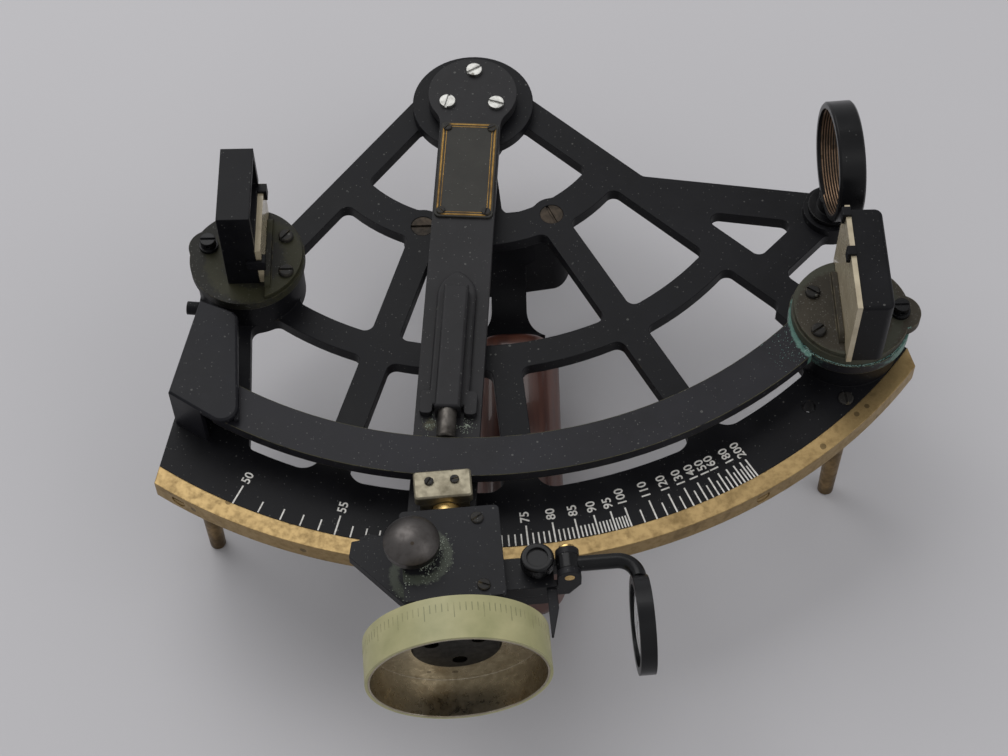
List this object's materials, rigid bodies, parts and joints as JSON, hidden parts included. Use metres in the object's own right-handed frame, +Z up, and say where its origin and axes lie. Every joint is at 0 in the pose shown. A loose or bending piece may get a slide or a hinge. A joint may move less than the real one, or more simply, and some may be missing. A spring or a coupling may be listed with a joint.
{
  "type": "stadimeter",
  "caption": "Sector-frame hand stadimeter with a swinging index arm, micrometer drum, lever-borne index mirror, fixed horizon mirror and telescope ring.",
  "frame": {"origin": "on the index arm's pivot axis, in the plane of the three feet", "axes": "+X along the telescope's line of sight towards the telescope, +Y from the scale limb towards the arm pivot, +Z up out of the frame's face"},
  "size_m": [0.2408, 0.2432, 0.105],
  "materials": {
    "black_paint": "worn satin black paint",
    "black_cast": "semi-matt black paint over a casting",
    "brass": "aged brass",
    "drum_brass": "tarnished turned brass",
    "bright_steel": "bright screw heads",
    "dark_steel": "blackened steel",
    "pale_metal": "worn plated metal",
    "drum_scale": "cream scale sleeve",
    "wood": "dark red-brown varnished wood",
    "plate": "bare black plate with a thin gold border",
    "mirror_glass": "silvered glass",
    "lens": "polished",
    "green_bronze": "black paint worn through to brass with green tarnish"
  },
  "bodies": {
    "frame_body": {"frame": "black_cast", "scale_rim": "brass", "rim_screws": "brass", "hub_cap": "black_cast", "rear_leg": "brass", "left_leg": "brass", "right_leg": "brass", "horizon_base": "green_bronze", "horizon_plate": "green_bronze", "horizon_frame": "black_paint", "horizon_glass": "mirror_glass", "horizon_clips": "black_paint", "lever_guard": "black_paint", "guard_stud": "black_paint", "telescope_ring": "black_paint", "ring_nut": "dark_steel", "handle_grip": "wood", "handle_bracket": "black_paint", "handle_post": "black_paint", "handle_screws": "dark_steel"},
    "arm": {"index_arm": "black_paint", "arm_journal": "dark_steel", "pivot_nut": "dark_steel", "pivot_screws": "bright_steel", "nameplate": "plate", "plunger_housing": "black_paint", "carriage_body": "black_paint", "carriage_cover": "black_paint", "carriage_keeper": "black_paint", "reading_index": "black_paint", "screw_bush": "brass", "magnifier_bracket": "black_paint", "magnifier_pin": "brass", "drum_pointer": "black_paint"},
    "feed": {"contact_shoe": "black_paint", "contact_cap": "pale_metal"},
    "drum_body": {"micrometer_screw": "brass", "drum": "drum_brass", "drum_scale": "drum_scale", "drum_hub": "black_paint"},
    "plunger": {"spring_plunger": "dark_steel"},
    "lever_body": {"lever": "black_paint", "lever_journal": "dark_steel", "lever_nut": "dark_steel", "index_base": "green_bronze", "index_plate": "green_bronze", "index_glass": "mirror_glass", "index_hood": "black_paint", "index_clips": "black_paint"},
    "clamp": {"clamp_knob": "dark_steel"},
    "thumb_screw": {"clamp_screw": "dark_steel"},
    "magnifier": {"magnifier_arm": "black_paint", "magnifier_lens": "lens"},
    "horizon_screw": {"horizon_adjuster": "dark_steel"},
    "index_screw": {"index_adjuster": "dark_steel"}
  },
  "joints": [
    {"name": "arm_swing", "type": "hinge", "parent": "frame_body", "child": "arm", "pos_m": [0, 0, 0.057], "axis": [0, 0, 1], "range_deg": [-15, 41]},
    {"name": "lever_swing", "type": "hinge", "parent": "frame_body", "child": "lever_body", "pos_m": [0.1185, -0.0995, 0.069], "axis": [0, 0, -1], "range_deg": [0, 2.77]},
    {"name": "screw_feed", "type": "slide", "parent": "arm", "child": "feed", "axis": [-0.068, 0.9977, 0], "range_m": [0, 0.00602]},
    {"name": "drum_turn", "type": "hinge", "parent": "feed", "child": "drum_body", "pos_m": [-0.00718, -0.20191, 0.068], "axis": [0.068, -0.9977, 0], "range_deg": [0, 1080]},
    {"name": "plunger_slide", "type": "slide", "parent": "arm", "child": "plunger", "axis": [0.068, 0.9977, 0], "range_m": [0, 0.00692]},
    {"name": "clamp_turn", "type": "hinge", "parent": "arm", "child": "clamp", "pos_m": [-0.01926, -0.18198, 0.077], "axis": [0, 0, 1], "range_deg": [-90, 0]},
    {"name": "thumb_screw_turn", "type": "hinge", "parent": "arm", "child": "thumb_screw", "pos_m": [0.0174, -0.186, 0.077], "axis": [0, 0, 1], "range_deg": [-180, 0]},
    {"name": "magnifier_swing", "type": "hinge", "parent": "arm", "child": "magnifier", "pos_m": [0.02641, -0.18739, 0.074], "axis": [0.068, -0.9977, 0], "range_deg": [0, 100]},
    {"name": "horizon_adjust", "type": "hinge", "parent": "frame_body", "child": "horizon_screw", "pos_m": [-0.0861, -0.067, 0.072], "axis": [0, 0, 1], "range_deg": [-90, 90]},
    {"name": "index_adjust", "type": "hinge", "parent": "lever_body", "child": "index_screw", "pos_m": [0.1339, -0.1006, 0.075], "axis": [0, 0, 1], "range_deg": [-90, 90]}
  ],
  "couplings": [
    {"joint": "screw_feed", "follows": "drum_turn", "m_per_rad": 0.00031831},
    {"joint": "lever_swing", "follows": "drum_turn", "ratio": 0.0025466},
    {"joint": "plunger_slide", "follows": "drum_turn", "m_per_rad": 0.00036606}
  ]
}
